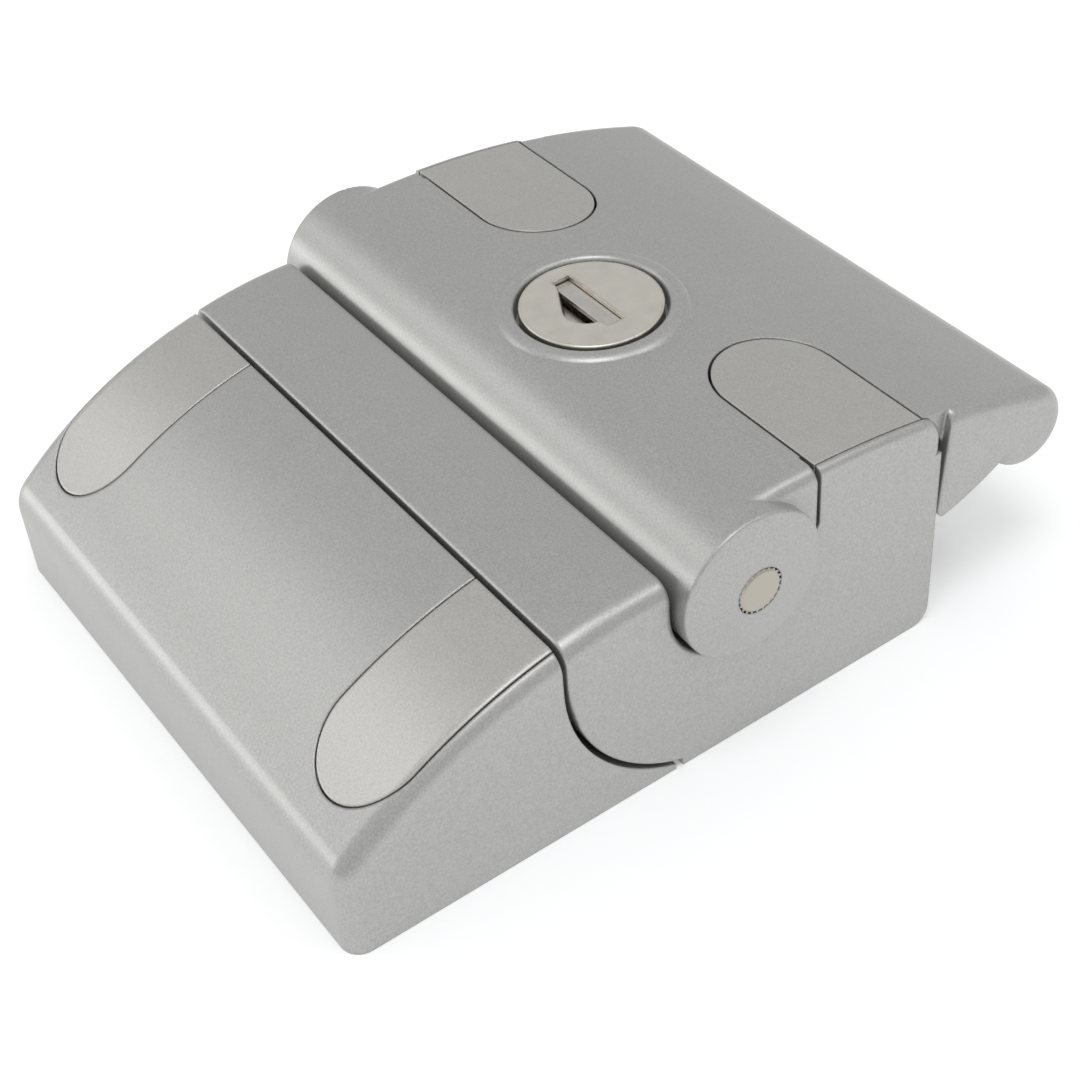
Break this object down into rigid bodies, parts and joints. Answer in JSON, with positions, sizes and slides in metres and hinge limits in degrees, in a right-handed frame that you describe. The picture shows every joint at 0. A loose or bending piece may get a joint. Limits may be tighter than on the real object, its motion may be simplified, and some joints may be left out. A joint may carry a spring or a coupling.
{
  "type": "tilt turn handle",
  "caption": "Keyed lever latch for a window: a hinged lever plate with a finger lip, on a base whose claws hold a bar in a keeper beside it.",
  "frame": {"origin": "on the mounting plane, in the middle of the overall length and width", "axes": "+X from the keeper towards the lever's finger lip, +Y along the hinge, +Z away from the window"},
  "size_m": [0.0825, 0.0696, 0.0273],
  "materials": {
    "silver_casting": "fine-grained silver paint",
    "silver_cover": "fine-grained silver paint on moulded covers",
    "nickel": "satin nickel plate",
    "steel": "plain bright steel",
    "zinc": "bare die-cast metal",
    "brass": "plain brass",
    "bush": "moulded bearing plastic",
    "rubber": "plain",
    "spring_steel": "oiled spring steel"
  },
  "bodies": {
    "castings": {"base_casting": "silver_casting", "base_cap_near": "silver_cover", "base_cap_far": "silver_cover", "pivot_bush_near": "bush", "pivot_bush_far": "bush", "lever_bumpers": "rubber", "keeper_casting": "silver_casting", "keeper_cap_near": "silver_cover", "keeper_cap_far": "silver_cover", "striker_bar": "steel", "striker_set_screws": "steel"},
    "lever": {"lever_casting": "silver_casting", "hinge_pin_near": "nickel", "hinge_pin_far": "nickel", "latch_claw_near": "steel", "latch_claw_far": "steel", "claw_screws": "steel", "lock_housing": "zinc", "lock_clip": "spring_steel"},
    "plug": {"lock_plug": "nickel", "lock_wafers": "brass", "lock_cam": "steel", "cam_washer": "steel", "cam_screw": "steel", "shutter_pin": "spring_steel"},
    "shutter": {"keyway_shutter": "brass"}
  },
  "joints": [
    {"name": "lever_hinge", "type": "hinge", "parent": "castings", "child": "lever", "pos_m": [0.0016, 0, 0.0194], "axis": [0, -1, 0], "range_deg": [0, 45]},
    {"name": "plug_turn", "type": "hinge", "parent": "lever", "child": "plug", "pos_m": [0.0096, 0, 0.02], "axis": [0, 0, -1], "range_deg": [0, 90]},
    {"name": "shutter_swing", "type": "hinge", "parent": "plug", "child": "shutter", "pos_m": [0.01095, 0.0006, 0.02645], "axis": [0, -1, 0], "range_deg": [0, 80], "stiffness_Nm_per_rad": 0.0004, "springref_deg": -17.19}
  ]
}
